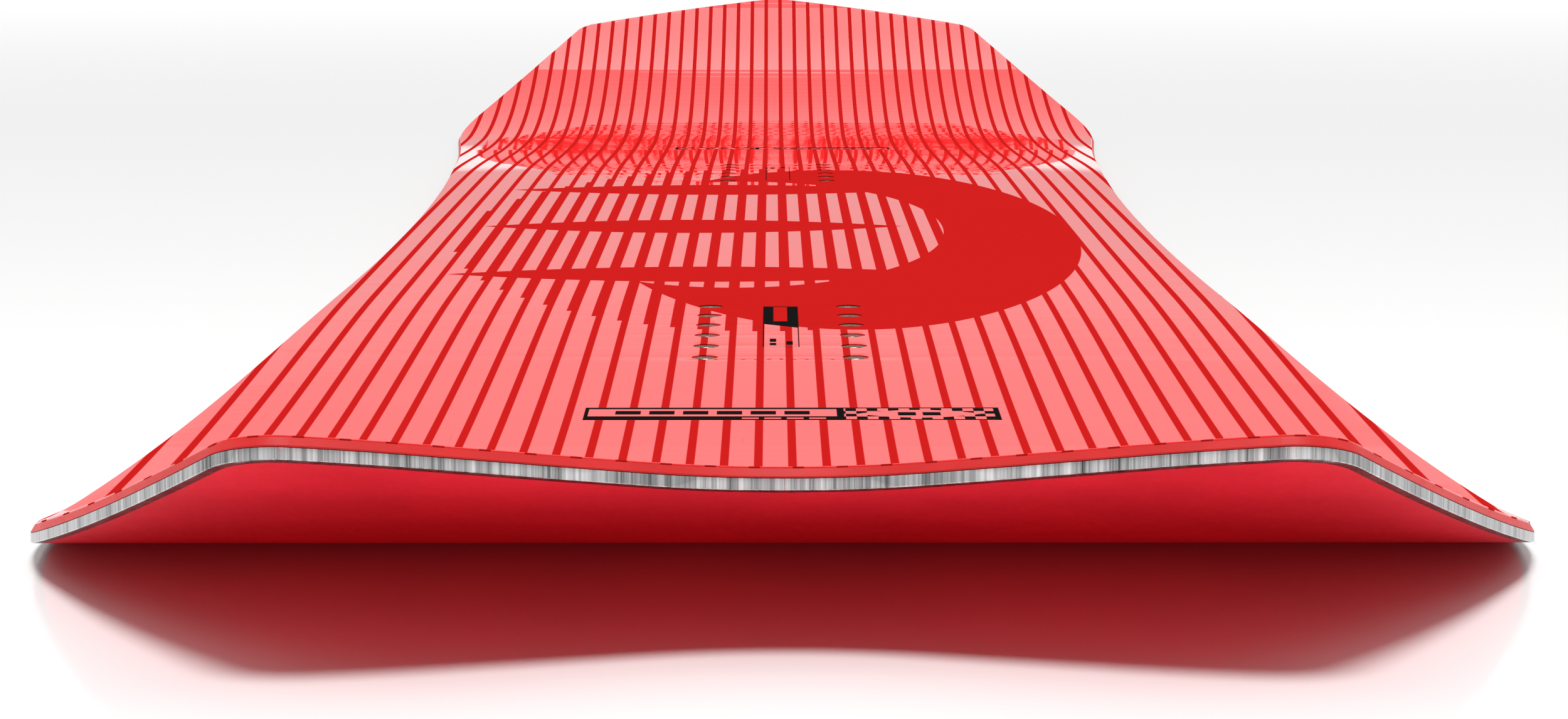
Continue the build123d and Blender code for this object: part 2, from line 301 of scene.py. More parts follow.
EDGE_PROFILE = [
    (DULLED, 0),
    (0, DULLED),
    (0, EDGE_HEIGHT - DULLED),
    (DULLED, EDGE_HEIGHT),
    (EDGE_WIDTH, EDGE_HEIGHT),
    (EDGE_WIDTH, TOOTH_LEVELS[1]),
    (EDGE_WIDTH, TOOTH_LEVELS[0]),
    (EDGE_WIDTH, 0),
]


def grow_teeth(blank):
    """Extrude every other stretch of the inner wall into a tooth."""
    middle = sum(TOOTH_LEVELS) / 2
    wall = [face for face in blank.faces if abs(face.calc_center_median().z - middle) < MM]
    walked = 0.0
    chosen = []
    for face in wall:
        walked += face.calc_area() / (TOOTH_LEVELS[1] - TOOTH_LEVELS[0])
        if walked % TOOTH_PITCH > TOOTH_PITCH / 2:
            chosen.append(face)
    grown = bmesh.ops.extrude_face_region(blank, geom=chosen)["geom"]
    tips = {face for face in grown if isinstance(face, bmesh.types.BMFace)}
    moves = {}
    for vert in (item for item in grown if isinstance(item, bmesh.types.BMVert)):
        outward = sum((face.normal for face in vert.link_faces if face in tips), Vector())
        moves[vert] = outward.normalized() * TOOTH_LENGTH
    for vert, move in moves.items():
        vert.co += move
    bmesh.ops.delete(blank, geom=chosen, context="FACES")
    return len(chosen)


def bend_steel_edge(side, sign):
    """One steel edge, to the right for a sign of 1 and to the left for -1."""
    blank = bmesh.new()
    sweep_rim(blank, EDGE_PROFILE, closed=True)
    bmesh.ops.bisect_plane(
        blank,
        geom=blank.verts[:] + blank.edges[:] + blank.faces[:],
        plane_co=(EDGE_GAP / 2, 0, 0),
        plane_no=(1, 0, 0),
        clear_inner=True,
    )
    bmesh.ops.holes_fill(blank, edges=[edge for edge in blank.edges if edge.is_boundary])
    bmesh.ops.recalc_face_normals(blank, faces=blank.faces)
    print(side, "teeth faces:", grow_teeth(blank))
    bmesh.ops.scale(blank, vec=(sign, 1, 1), verts=blank.verts)
    press(blank, above_base)
    piece = finish_piece(f"steel_edge_{side}_bent", blank)
    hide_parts(f"steel_edge_{side}")
    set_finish(piece, "edge_steel")
    return piece


steel_edges = [bend_steel_edge("left", -1), bend_steel_edge("right", 1)]

# %% [markdown]
# ## Topsheet
# The topsheet is a thin plastic sheet, printed from below, with a drilled hole over each insert. Its rim
# is rolled over a little where the board's bevel begins. The blank is an outline with holes, so it is
# filled with triangles, and then sliced across at close stations: between two slices the pressed sheet is
# flat from side to side, so the slices are all that it needs to bend smoothly. Extruding gives it its
# thickness, and a bevel rolls its rim and breaks the edges of its holes.

# %% Cut and press the topsheet
TOPSHEET_THICKNESS = 0.4
TOPSHEET_INSET = 0.96
ROLLED_RIM = 0.3
HOLE_RADIUS = 3.5
BROKEN_EDGE = 0.1
HOLE_CORNERS = 32
CLOSE_STATION = 7
WIDE_STATION = 24

INSERT_PLACES = [
    (side * INSERT_X, foot_y + (row - (INSERT_ROWS - 1) / 2) * INSERT_PITCH)
    for foot_y in FEET.values()
    for row in range(INSERT_ROWS)
    for side in (-1, 1)
]


def stations():
    """Places along the board to slice at, wide apart only where it is nearly straight."""
    place = cad_low.y / MM + CLOSE_STATION
    while place < NOSE_TIP_Y:
        yield place
        place += WIDE_STATION if MIDDLE_SPAN[0] < place < MIDDLE_SPAN[1] else CLOSE_STATION


def slice_across(blank):
    """Cut every face of a blank at each station."""
    for place in stations():
        bmesh.ops.bisect_plane(
            blank,
            geom=blank.verts[:] + blank.edges[:] + blank.faces[:],
            dist=0.01,
            plane_co=(0, place, 0),
            plane_no=(0, 1, 0),
        )


def corner_edges(blank, level):
    """Sharp edges that lie flat at a level."""
    return [
        edge
        for edge in blank.edges
        if all(abs(vert.co.z - level) < MM for vert in edge.verts) and edge.calc_face_angle(0) > SOFT_BEND
    ]


def near_insert(edge):
    """True for an edge on the rim of one of the insert holes."""
    place = edge.verts[0].co
    return any(math.dist(place.xy, insert) < HOLE_RADIUS + 1 for insert in INSERT_PLACES)


def cut_topsheet():
    """Blank of the topsheet, with its deck side at level 0."""
    blank = bmesh.new()
    sweep_rim(blank, [(TOPSHEET_INSET, 0)])
    bmesh.ops.mirror(blank, geom=blank.verts[:] + blank.edges[:], axis="X", merge_dist=0.05)
    for x, y in INSERT_PLACES:
        bmesh.ops.create_circle(
            blank, segments=HOLE_CORNERS, radius=HOLE_RADIUS, matrix=Matrix.Translation((x, y, 0))
        )
    bmesh.ops.triangle_fill(blank, edges=blank.edges[:], use_beauty=True, normal=(0, 0, 1))
    slice_across(blank)
    bottom = bmesh.ops.extrude_face_region(blank, geom=blank.faces[:])["geom"]
    bottom_verts = [item for item in bottom if isinstance(item, bmesh.types.BMVert)]
    bmesh.ops.translate(blank, vec=(0, 0, -TOPSHEET_THICKNESS), verts=bottom_verts)
    bmesh.ops.recalc_face_normals(blank, faces=blank.faces)
    corners = corner_edges(blank, 0)
    for rolled, offset in ((False, BROKEN_EDGE), (True, ROLLED_RIM)):
        bmesh.ops.bevel(
            blank,
            geom=[edge for edge in corners if edge.is_valid and near_insert(edge) != rolled],
            offset=offset,
            segments=3,
            profile=0.5,
            affect="EDGES",
            material=-1,
        )
    return blank


topsheet_blank = cut_topsheet()
press(topsheet_blank, below_deck)
topsheet = finish_piece("topsheet_printed", topsheet_blank)
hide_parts("topsheet")
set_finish(topsheet, "topsheet")

# %% [markdown]
# ## Threaded inserts
# Each insert is a turned steel barrel on a flange, with a blind M6 thread that takes a binding screw. The
# thread is made the way a tap makes it: a saw-tooth line, one tooth to a pitch, is spun once round the
# axis while it climbs by one pitch. The line is cut off at the bottom of the bore and below the mouth,
# and the mouth is bridged to the thread by a countersink. The inserts differ only in height, because the
# core gets thinner towards the ends of the board.

# %% Turn and tap the inserts
LAYER_UNDER_INSERT = 1.7
LAYER_OVER_INSERT = 0.9
FLANGE_RADIUS = 8
FLANGE_THICKNESS = 0.8
BARREL_RADIUS = 4.5
MOUTH_RADIUS = 3.3
THREAD_RADII = (2.5, 3.0)
THREAD_PITCH = 1.0
THREAD_FLOOR = 1.0
COUNTERSINK = 0.35
TURNED_EDGE = 0.15
SPIN_STEPS = 32


def tap_thread(bm, top):
    """Threaded wall of a bore, from its floor to a height, with a flat floor."""
    minor, major = THREAD_RADII
    tooth = [(minor, 0), (minor, 0.12), (major, 0.5), (major, 0.62)]
    turns = math.ceil(top - THREAD_FLOOR) + 2
    line = [
        bm.verts.new((radius, 0, THREAD_FLOOR + (turn - 1 + part) * THREAD_PITCH))
        for turn in range(turns)
        for radius, part in tooth
    ]
    edges = [bm.edges.new(pair) for pair in zip(line, line[1:])]
    bmesh.ops.spin(
        bm,
        geom=line + edges,
        axis=(0, 0, 1),
        dvec=(0, 0, THREAD_PITCH / SPIN_STEPS),
        angle=math.tau,
        steps=SPIN_STEPS,
    )
    bmesh.ops.remove_doubles(bm, verts=bm.verts, dist=0.01)
    for height, facing in ((THREAD_FLOOR, -1), (top, 1)):
        bmesh.ops.bisect_plane(
            bm,
            geom=bm.verts[:] + bm.edges[:] + bm.faces[:],
            plane_co=(0, 0, height),
            plane_no=(0, 0, facing),
            clear_outer=True,
        )
    floor_edges = [e for e in bm.edges if e.is_boundary and e.verts[0].co.z < THREAD_FLOOR + 0.01]
    bmesh.ops.contextual_create(bm, geom=floor_edges)


def turn_barrel(bm, height):
    """Outside of an insert, from the middle of its underside to the rim of its mouth."""
    outside = [
        (0, 0),
        (FLANGE_RADIUS - TURNED_EDGE, 0),
        (FLANGE_RADIUS, TURNED_EDGE),
        (FLANGE_RADIUS, FLANGE_THICKNESS - TURNED_EDGE),
        (FLANGE_RADIUS - TURNED_EDGE, FLANGE_THICKNESS),
        (BARREL_RADIUS, FLANGE_THICKNESS),
        (BARREL_RADIUS, height - TURNED_EDGE),
        (BARREL_RADIUS - TURNED_EDGE, height),
        (MOUTH_RADIUS, height),
    ]
    line = [bm.verts.new((radius, 0, level)) for radius, level in outside]
    edges = [bm.edges.new(pair) for pair in zip(line, line[1:])]
    bmesh.ops.spin(bm, geom=line + edges, axis=(0, 0, 1), angle=math.tau, steps=SPIN_STEPS, use_merge=True)
    bmesh.ops.remove_doubles(bm, verts=bm.verts, dist=0.01)


def draw_insert(group, x, y):
    """Add one insert to a group, upright on the bottom laminate."""
    low = above_base(y, LAYER_UNDER_INSERT)
    height = below_deck(y, -LAYER_OVER_INSERT) - low
    bm = bmesh.new()
    tap_thread(bm, height - COUNTERSINK)
    turn_barrel(bm, height)
    mouth = [edge for edge in bm.edges if edge.is_boundary]
    bmesh.ops.bridge_loops(bm, edges=mouth)
    bmesh.ops.translate(bm, vec=(x, y, low), verts=bm.verts)
    loose = bpy.data.meshes.new("insert")
    bm.to_mesh(loose)
    bm.free()
    group.from_mesh(loose)
    bpy.data.meshes.remove(loose)


insert_groups = []
for foot, foot_y in FEET.items():
    group = bmesh.new()
    for x, y in INSERT_PLACES:
        if abs(y - foot_y) < INSERT_ROWS * INSERT_PITCH / 2:
            draw_insert(group, x, y)
    piece = finish_piece(f"{foot}_inserts_tapped", group)
    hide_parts(f"{foot}_inserts")
    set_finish(piece, "insert_steel")
    insert_groups.append(piece)


# %% [markdown]
# ## Floor and light
# A plain pale floor stands under a soft sun that shines almost straight down, so the turned-up tail casts
# a short shadow with a soft border. Around it is a dome of dim light. Ahead of the board the dome has two
# levels, which the glossy top mirrors: half bright up to a soft border, and bright above it, where only
# the steep nose looks. Low down, the dome is bright all round and melts into the floor. Behind the camera
# it is dark, which keeps the shadow deep. A red fill near the floor, lower than the tail, is linked to the
# base and the floor alone. White light hardly gets under the tail, so this lamp, and not the plastic, gives
# the base and the shadow under it their deep red.

# %% Build the studio
FLOOR_SIZE = 60
FLOOR_DROP = 0.1 * MM
FLOOR_WHITE = (0.9, 0.9, 0.9, 1)
HORIZON_LIGHT = 1.1
LOW_LIGHT = 0.5
HIGH_LIGHT = 1.55
REAR_LIGHT = 0.12
HORIZON_BORDER = (0.025, 0.05)
HIGH_BORDER = (math.sin(math.radians(29.5)), math.sin(math.radians(32.5)))
REAR_BORDER = (-0.25, 0.25)
SUN_POWER = 3.2
SUN_ANGLE = math.radians(20)
SUN_TILT = math.radians(8)
RED_FILL_PLACE = (0, -1.6, 0.02)
RED_FILL_COLOUR = (1, 0.06, 0.1)
RED_FILL_POWER = 38
RED_FILL_CONE = math.radians(50)

floor_blank = bmesh.new()
bmesh.ops.create_grid(floor_blank, x_segments=1, y_segments=1, size=FLOOR_SIZE / 2)
bmesh.ops.translate(floor_blank, verts=floor_blank.verts, vec=(0, 0, -FLOOR_DROP))
floor_mesh = bpy.data.meshes.new("floor")
floor_blank.to_mesh(floor_mesh)
floor_blank.free()
floor = bpy.data.objects.new("floor", floor_mesh)
bpy.context.scene.collection.objects.link(floor)
floor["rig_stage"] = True

world = bpy.data.worlds.new("studio")
bpy.context.scene.world = world
world.use_nodes = True
sky = world.node_tree
direction = sky.nodes.new("ShaderNodeTexCoord")
facing = sky.nodes.new("ShaderNodeSeparateXYZ")
sky.links.new(direction.outputs["Generated"], facing.inputs[0])


def blend_light(axis, border, low, high):
    """Light that changes softly from one strength to another across a border on one axis."""
    blend = sky.nodes.new("ShaderNodeMapRange")
    blend.interpolation_type = "SMOOTHSTEP"
    blend.inputs["From Min"].default_value, blend.inputs["From Max"].default_value = border
    for name, strength in (("To Min", low), ("To Max", high)):
        if isinstance(strength, bpy.types.NodeSocket):
            sky.links.new(strength, blend.inputs[name])
        else:
            blend.inputs[name].default_value = strength
    sky.links.new(facing.outputs[axis], blend.inputs["Value"])
    return blend.outputs[0]


ahead = blend_light("Z", HIGH_BORDER, LOW_LIGHT, HIGH_LIGHT)
around = blend_light("Y", REAR_BORDER, REAR_LIGHT, ahead)
dome = blend_light("Z", HORIZON_BORDER, HORIZON_LIGHT, around)
sky.links.new(dome, sky.nodes["Background"].inputs["Strength"])
sky.nodes["Background"].inputs["Color"].default_value = (1, 1, 1, 1)


def hang_lamp(name, kind, place, turn, **settings):
    """Add a lamp that shines down, turned up from there about the X axis."""
    data = bpy.data.lights.new(name, kind)
    for setting, value in settings.items():
        setattr(data, setting, value)
    lamp = bpy.data.objects.new(name, data)
    lamp.location = place
    lamp.rotation_euler = (turn, 0, 0)
    bpy.context.scene.collection.objects.link(lamp)
    return lamp


hang_lamp("soft_sun", "SUN", (0, 0, 0), SUN_TILT, energy=SUN_POWER, angle=SUN_ANGLE)
fill = hang_lamp(
    "red_fill",
    "SPOT",
    RED_FILL_PLACE,
    math.pi / 2,
    energy=RED_FILL_POWER,
    color=RED_FILL_COLOUR,
    spot_size=RED_FILL_CONE,
    shadow_soft_size=0,
)
filled = bpy.data.collections.new("red_filled")
filled.objects.link(floor)
filled.objects.link(nodes["base_sheet"])
fill.light_linking.receiver_collection = filled

bpy.context.scene.view_settings.view_transform = "Standard"
print("studio: floor", FLOOR_SIZE, "m, dome", LOW_LIGHT, "to", HIGH_LIGHT)

# %% [markdown]
# ## Tools for shader nodes
# A material is a small network of nodes. A few helpers keep the networks short to write: they feed a socket
# with a number or a link, add a node, do one step of arithmetic on numbers or on vectors, mix two colours,
# start a node group, and place a node group in a network.

# %% Write the node helpers
FLOAT, COLOUR, VECTOR = "NodeSocketFloat", "NodeSocketColor", "NodeSocketVector"


def feed(tree, socket, value):
    """Link a socket to another socket, or set it to a value."""
    if isinstance(value, bpy.types.NodeSocket):
        tree.links.new(value, socket)
    else:
        socket.default_value = value


def add_node(tree, kind, inputs=None, **settings):
    """Add a node, set its options and feed its inputs."""
    node = tree.nodes.new(kind)
    for name, value in settings.items():
        setattr(node, name, value)
    for name, value in (inputs or {}).items():
        feed(tree, node.inputs[name], value)
    return node


def calc(tree, operation, *values):
    """Result of one arithmetic step."""
    return add_node(tree, "ShaderNodeMath", dict(enumerate(values)), operation=operation).outputs[0]


def combine(tree, operation, first, second):
    """Result of one step of arithmetic on two vectors."""
    return add_node(tree, "ShaderNodeVectorMath", {0: first, 1: second}, operation=operation).outputs[0]


def mix_colour(tree, factor, first, second):
    """Colour between two colours."""
    node = add_node(tree, "ShaderNodeMix", data_type="RGBA")
    feed(tree, node.inputs[0], factor)
    feed(tree, node.inputs[6], first)
    feed(tree, node.inputs[7], second)
    return node.outputs[2]


def open_group(name, takes, gives):
    """New node group with named inputs, each with its kind and value, and named outputs."""
    tree = bpy.data.node_groups.new(name, "ShaderNodeTree")
    for label, (kind, value) in takes.items():
        tree.interface.new_socket(label, in_out="INPUT", socket_type=kind).default_value = value
    for label, kind in gives.items():
        tree.interface.new_socket(label, in_out="OUTPUT", socket_type=kind)
    return tree, tree.nodes.new("NodeGroupInput").outputs, tree.nodes.new("NodeGroupOutput").inputs


def place_group(tree, group, inputs):
    """Place a node group in a network, with its own values, and return its outputs."""
    return add_node(tree, "ShaderNodeGroup", inputs, node_tree=group).outputs


# %% [markdown]
# ## Effects that several finishes share
# Cloudy colour, drawn lines, weave and wood grain each become one node group, so that every finish can
# have its own scale and strength. A group only gives colours, masks and heights, and the shader itself
# stays in the material. All patterns are fixed in the object's own space.

# %% Cloudy colour
def build_cloudy_colour():
    """Two shades of a colour, mixed by soft clouds."""
    tree, given, result = open_group(
        "Cloudy Colour",
        {
            "Place": (VECTOR, (0, 0, 0)),
            "Scale": (FLOAT, 40),
            "Shade": (COLOUR, (0.5, 0.5, 0.5, 1)),
            "Other Shade": (COLOUR, (0.4, 0.4, 0.4, 1)),
        },
        {"Colour": COLOUR},
    )
    noise = add_node(
        tree,
        "ShaderNodeTexNoise",
        {"Vector": given["Place"], "Scale": given["Scale"], "Detail": 4, "Roughness": 0.6},
    )
    cloud = add_node(
        tree,
        "ShaderNodeMapRange",
        {"Value": noise.outputs[0], "From Min": 0.35, "From Max": 0.65},
        interpolation_type="SMOOTHSTEP",
    ).outputs[0]
    feed(tree, result["Colour"], mix_colour(tree, cloud, given["Shade"], given["Other Shade"]))
    return tree


cloudy_colour = build_cloudy_colour()
print("group:", cloudy_colour.name)


# %% Drawn lines
BROAD_LINE_SCALE = 0.15


def build_drawn_lines():
    """Fine lines, as from grinding or machining: clouds stretched along one direction."""
    tree, given, result = open_group(
        "Drawn Lines",
        {"Place": (VECTOR, (0, 0, 0)), "Lines per Metre": (VECTOR, (1000, 10, 1000))},
        {"Line": FLOAT, "Broad Line": FLOAT},
    )
    stretched = combine(tree, "MULTIPLY", given["Place"], given["Lines per Metre"])
    for label, scale in (("Line", 1), ("Broad Line", BROAD_LINE_SCALE)):
        noise = add_node(
            tree,
            "ShaderNodeTexNoise",
            {"Vector": stretched, "Scale": scale, "Detail": 3, "Roughness": 0.7},
        )
        feed(tree, result[label], noise.outputs[0])
    return tree


drawn_lines = build_drawn_lines()
print("group:", drawn_lines.name)


# %% Woven threads
def build_woven_threads():
    """Plain weave: two sets of rounded threads that pass over and under each other."""
    tree, given, result = open_group(
        "Woven Threads",
        {"Place": (VECTOR, (0, 0, 0)), "Threads per Metre": (FLOAT, 500), "Turn": (FLOAT, 0)},
        {"Height": FLOAT, "Warp": FLOAT},
    )
    turned = add_node(
        tree,
        "ShaderNodeVectorRotate",
        {"Vector": given["Place"], "Angle": given["Turn"]},
        rotation_type="Z_AXIS",
    )
    axes = add_node(tree, "ShaderNodeSeparateXYZ", {0: turned.outputs[0]})
    waves = []
    for axis in ("X", "Y"):
        along = calc(tree, "MULTIPLY", axes.outputs[axis], given["Threads per Metre"])
        waves.append(calc(tree, "SINE", calc(tree, "MULTIPLY", along, math.pi)))
    crossing = calc(tree, "MULTIPLY", *waves)
    warp = calc(tree, "GREATER_THAN", crossing, 0)
    height = add_node(tree, "ShaderNodeMix", {0: warp}, data_type="FLOAT")
    feed(tree, height.inputs[2], calc(tree, "ABSOLUTE", waves[0]))
    feed(tree, height.inputs[3], calc(tree, "ABSOLUTE", waves[1]))
    feed(tree, result["Height"], height.outputs[0])
    feed(tree, result["Warp"], warp)
    return tree


woven_threads = build_woven_threads()
print("group:", woven_threads.name)


# %% Wood grain
GRAIN_BEND_SCALE = 30
GRAIN_BEND_RINGS = 6
LATE_WOOD_SHARPNESS = 3
GRAIN_STRENGTH = 0.8
GRAIN_STRETCH = (1, 0.04, 1)
PORES_PER_METRE = (3000, 60, 3000)


def build_wood_grain():
    """Growth rings seen on a planed strip, with pores along the grain, different in each glued strip."""
    tree, given, result = open_group(
        "Wood Grain",
        {
            "Place": (VECTOR, (0, 0, 0)),
            "Early Wood": (COLOUR, (0.7, 0.5, 0.3, 1)),
            "Late Wood": (COLOUR, (0.5, 0.33, 0.17, 1)),
            "Rings per Metre": (FLOAT, 250),
            "Strips per Metre": (FLOAT, 50),
        },
        {"Colour": COLOUR, "Pores": FLOAT},
    )
    axes = add_node(tree, "ShaderNodeSeparateXYZ", {0: given["Place"]})
    strips_out = calc(tree, "MULTIPLY", axes.outputs["X"], given["Strips per Metre"])
    strip = calc(tree, "FLOOR", calc(tree, "ADD", strips_out, 0.5))
    shift = add_node(tree, "ShaderNodeTexWhiteNoise", {"W": strip}, noise_dimensions="1D").outputs["Color"]
    moved = combine(tree, "ADD", given["Place"], shift)
    slow = combine(tree, "MULTIPLY", moved, GRAIN_STRETCH)
    bend = add_node(tree, "ShaderNodeTexNoise", {"Vector": slow, "Scale": GRAIN_BEND_SCALE, "Detail": 2})
    rings_out = calc(tree, "MULTIPLY", axes.outputs["X"], given["Rings per Metre"])
    rings = calc(tree, "ADD", rings_out, calc(tree, "MULTIPLY", bend.outputs[0], GRAIN_BEND_RINGS))
    late = calc(tree, "POWER", calc(tree, "FRACT", rings), LATE_WOOD_SHARPNESS)
    pores = place_group(tree, drawn_lines, {"Place": moved, "Lines per Metre": PORES_PER_METRE})
    from_middle = calc(tree, "SUBTRACT", pores["Line"], 0.5)
    strong_late = calc(tree, "MULTIPLY", late, GRAIN_STRENGTH)
    grain = calc(tree, "MULTIPLY_ADD", from_middle, GRAIN_STRENGTH, strong_late)
    feed(tree, result["Colour"], mix_colour(tree, grain, given["Early Wood"], given["Late Wood"]))
    feed(tree, result["Pores"], pores["Line"])
    return tree


wood_grain = build_wood_grain()
print("group:", wood_grain.name)

# %% [markdown]
# ## Starting a finish
# Every finish starts in the same way: a material with one Principled BSDF, and the place on the object as
# a vector. Plain numbers go straight onto the shader's sockets. Bumps are small heights in metres.

# %% Write the material helpers
finishes = {}


def start_finish(slot, **numbers):
    """New material for a slot, with plain numbers on its shader, and the sockets to build it from."""
    material = bpy.data.materials.new(slot)
    material.use_nodes = True
    tree = material.node_tree
    shader = tree.nodes["Principled BSDF"]
    for name, value in numbers.items():
        shader.inputs[name.replace("_", " ")].default_value = value
    place = tree.nodes.new("ShaderNodeTexCoord").outputs["Object"]
    finishes[slot] = material
    return tree, shader.inputs, place


def add_bump(tree, height, depth):
    """Normal of a surface with a height pattern, where depth is the pattern's height in metres."""
    return add_node(tree, "ShaderNodeBump", {"Height": height, "Distance": depth, "Strength": 1}).outputs[0]


# %% [markdown]
# ## The print on the topsheet
# The print is vector artwork, so it is drawn with masks: each mask is 1 inside a shape and 0 outside. The
# artwork is lengthwise stripes, a large figure of a crescent and three blades, a label at each end with
# plain bars and a chequered flag, and a narrow setting-out label between the inserts of each foot. The
# masks take X and Y in millimetres. Their edges are a tenth of a millimetre soft, as printed edges are.

# %% Masks for print shapes
INK_SPREAD = 0.1
SHAPE_INPUTS = {
    "X": (FLOAT, 0),
    "Y": (FLOAT, 0),
    "Centre X": (FLOAT, 0),
    "Centre Y": (FLOAT, 0),
    "Half Width": (FLOAT, 1),
    "Half Length": (FLOAT, 1),
}


def inked(tree, distance):
    """Mask from a distance in millimetres to the shape's edge, positive inside."""
    spread = add_node(
        tree, "ShaderNodeMapRange", {"Value": distance, "From Min": -INK_SPREAD, "From Max": INK_SPREAD}
    )
    return spread.outputs[0]


def centred(tree, given):
    """X and Y measured from the shape's centre."""
    return [calc(tree, "SUBTRACT", given[axis], given[f"Centre {axis}"]) for axis in ("X", "Y")]


def build_box_mask():
    """Mask of a box."""
    tree, given, result = open_group("Box Mask", SHAPE_INPUTS, {"Mask": FLOAT})
    x, y = centred(tree, given)
    gaps = [
        calc(tree, "SUBTRACT", given[half], calc(tree, "ABSOLUTE", offset))
        for half, offset in (("Half Width", x), ("Half Length", y))
    ]
    feed(tree, result["Mask"], inked(tree, calc(tree, "MINIMUM", *gaps)))
    return tree


def build_ellipse_mask():
    """Mask of an ellipse."""
    tree, given, result = open_group("Ellipse Mask", SHAPE_INPUTS, {"Mask": FLOAT})
    x, y = centred(tree, given)
    across = calc(tree, "POWER", calc(tree, "DIVIDE", x, given["Half Width"]), 2)
    along = calc(tree, "POWER", calc(tree, "DIVIDE", y, given["Half Length"]), 2)
    reach = calc(tree, "SQRT", calc(tree, "ADD", across, along))
    narrow = calc(tree, "MINIMUM", given["Half Width"], given["Half Length"])
    feed(tree, result["Mask"], inked(tree, calc(tree, "MULTIPLY", calc(tree, "SUBTRACT", 1, reach), narrow)))
    return tree


def build_blade_mask():
    """Mask of a blade, pointed at its left and right ends and rounded between."""
    tree, given, result = open_group("Blade Mask", SHAPE_INPUTS, {"Mask": FLOAT})
    x, y = centred(tree, given)
    across = calc(tree, "POWER", calc(tree, "DIVIDE", x, given["Half Width"]), 2)
    room = calc(tree, "MULTIPLY", calc(tree, "SUBTRACT", 1, across), given["Half Length"])
    feed(tree, result["Mask"], inked(tree, calc(tree, "SUBTRACT", room, calc(tree, "ABSOLUTE", y))))
    return tree


box_mask, ellipse_mask, blade_mask = build_box_mask(), build_ellipse_mask(), build_blade_mask()
print("print masks:", box_mask.name, ellipse_mask.name, blade_mask.name)


# %% Masks that join into artwork
def shape(tree, group, place, x, y, half_width, half_length):
    """Mask of one shape of the artwork, with its centre and half sizes in millimetres."""
    values = {"X": place[0], "Y": place[1], "Centre X": x, "Centre Y": y}
    values |= {"Half Width": half_width, "Half Length": half_length}
    return place_group(tree, group, values)["Mask"]


def join(tree, *masks):
    """Mask of everything that is in any of the masks."""
    joined = masks[0]
    for mask in masks[1:]:
        joined = calc(tree, "MAXIMUM", joined, mask)
    return joined


def without(tree, mask, hole):
    """Mask of what is in the first mask and not in the second."""
    return calc(tree, "MULTIPLY", mask, calc(tree, "SUBTRACT", 1, hole))


# %% [markdown]
# The stripes are all one width, except inside the figure's field, where each stripe is wider on its left
# side. The field is looked up at the middle of each stripe, so that a stripe widens in one square step.

# %% Stripes and figure
STRIPE_PITCH = 7.68
STRIPE_SHIFT = 0.315
STRIPE_SHARE = 0.26
WIDER_SHARE = 0.18
FIELD = (-3, -60, 106, 282)
CRESCENT_OUTSIDE = (22, -62, 81, 277)
CRESCENT_INSIDE = (-14, -46, 72, 196)
BLADES = [(-22, 110, 82, 24), (-30, -46, 74, 25), (-22, -204, 82, 22)]


def build_stripes():
    """Masks of the stripes and of the large figure."""
    tree, given, result = open_group(
        "Stripes and Figure", {"X": (FLOAT, 0), "Y": (FLOAT, 0)}, {"Ink": FLOAT}
    )
    place = (given["X"], given["Y"])
    count = calc(tree, "ADD", calc(tree, "DIVIDE", place[0], STRIPE_PITCH), 0.5 - STRIPE_SHIFT)
    stripe = calc(tree, "FLOOR", count)
    middle = calc(tree, "MULTIPLY", calc(tree, "ADD", stripe, STRIPE_SHIFT), STRIPE_PITCH)
    wide = calc(tree, "GREATER_THAN", shape(tree, ellipse_mask, (middle, place[1]), *FIELD), 0.5)
    wider = calc(tree, "MULTIPLY", wide, WIDER_SHARE)
    offset = calc(tree, "SUBTRACT", calc(tree, "FRACT", count), 0.5)
    offset = calc(tree, "ABSOLUTE", calc(tree, "MULTIPLY_ADD", wider, 0.5, offset))
    half = calc(tree, "MULTIPLY", calc(tree, "ADD", wider, STRIPE_SHARE), 0.5)
    gap = calc(tree, "MULTIPLY", calc(tree, "SUBTRACT", half, offset), STRIPE_PITCH)
    crescent = without(
        tree,
        shape(tree, ellipse_mask, place, *CRESCENT_OUTSIDE),
        shape(tree, ellipse_mask, place, *CRESCENT_INSIDE),
    )
    blades = [shape(tree, blade_mask, place, *blade) for blade in BLADES]
    feed(tree, result["Ink"], join(tree, inked(tree, gap), crescent, *blades))
    return tree


stripes_and_figure = build_stripes()
print("stripes:", round(2 * cad_high.x / MM / STRIPE_PITCH), "across the board")

# %% [markdown]
# A label is a black bar with the bare ground showing through it. Its left part has a bare panel with a row
# of plain blocks, where a board would carry its name, and its right part is a chequered flag with a
# lozenge in the middle. No stripe crosses a label.

# %% End labels
LABEL_HALF_SIZE = (50.4, 9.1)
PANEL = (-19.3, 1.6, 30.1, 5.1)
FLAG = (30.8, 0, 18.2, 7.8)
LOZENGE = (30.8, 0, 15, 5.6)
CHECKS_PER_MM = (0.385, 0.257)
PANEL_BLOCKS = (6, 8.2, 3.1, 2.6)
SMALL_BLOCKS = (4, 5.4, 2.0, 0.9)
SMALL_BLOCKS_PLACE = (-2, -6.4)
LOZENGE_BLOCKS = (2, 6, 2.2, 2.4)


def block_row(tree, place, middle, count, pitch, half_width, half_length):
    """Mask of a row of plain blocks about a middle (x, y), each standing for a letter."""
    first = middle[0] - (count - 1) / 2 * pitch
    rows = [first + number * pitch for number in range(count)]
    return join(tree, *[shape(tree, box_mask, place, x, middle[1], half_width, half_length) for x in rows])


